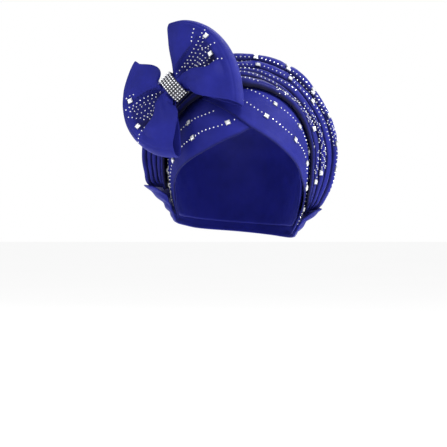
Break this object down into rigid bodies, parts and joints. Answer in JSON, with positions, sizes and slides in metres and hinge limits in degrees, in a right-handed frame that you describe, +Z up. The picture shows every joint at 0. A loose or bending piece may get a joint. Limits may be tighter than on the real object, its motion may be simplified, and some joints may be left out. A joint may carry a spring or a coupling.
{
  "type": "pleated head wrap with bow",
  "caption": "Pre-tied pleated head wrap: cap, crossed forehead bands, pleated roll, nape band and a bow with a stone-set knot, studded with small cut stones.",
  "frame": {"origin": "inside of the crown, where the wrap sits on the top of a head", "axes": "+Z up, -Y the front of the wrap, +X towards the wearer's left"},
  "size_m": [0.2248, 0.1945, 0.2241],
  "materials": {
    "knit": "matte royal blue stretch knit with a soft sheen",
    "stones": "clear cut stones with silvered backs"
  },
  "bodies": {
    "root": {"cap": "knit", "front_band_under": "knit", "front_band_over": "knit", "pleated_halo": "knit", "nape_band": "knit", "bow_loop_upper": "knit", "bow_loop_lower": "knit", "bow_knot_band": "stones", "stud_halo_01": "stones", "stud_halo_02": "stones", "stud_halo_03": "stones", "stud_halo_04": "stones", "stud_halo_05": "stones", "stud_halo_06": "stones", "stud_halo_07": "stones", "stud_halo_08": "stones", "stud_halo_09": "stones", "stud_halo_10": "stones", "stud_halo_11": "stones", "stud_halo_12": "stones", "stud_halo_13": "stones", "stud_halo_14": "stones", "stud_halo_15": "stones", "stud_over_01": "stones", "stud_over_02": "stones", "stud_over_03": "stones", "stud_over_04": "stones", "stud_over_05": "stones", "stud_over_06": "stones", "stud_over_07": "stones", "stud_over_08": "stones", "stud_over_09": "stones", "stud_under_01": "stones", "stud_under_02": "stones", "stud_under_03": "stones", "stud_under_04": "stones", "stud_under_05": "stones", "stud_under_06": "stones", "stud_upper_01": "stones", "stud_upper_02": "stones", "stud_lower_01": "stones", "stud_lower_02": "stones"}
  },
  "joints": []
}
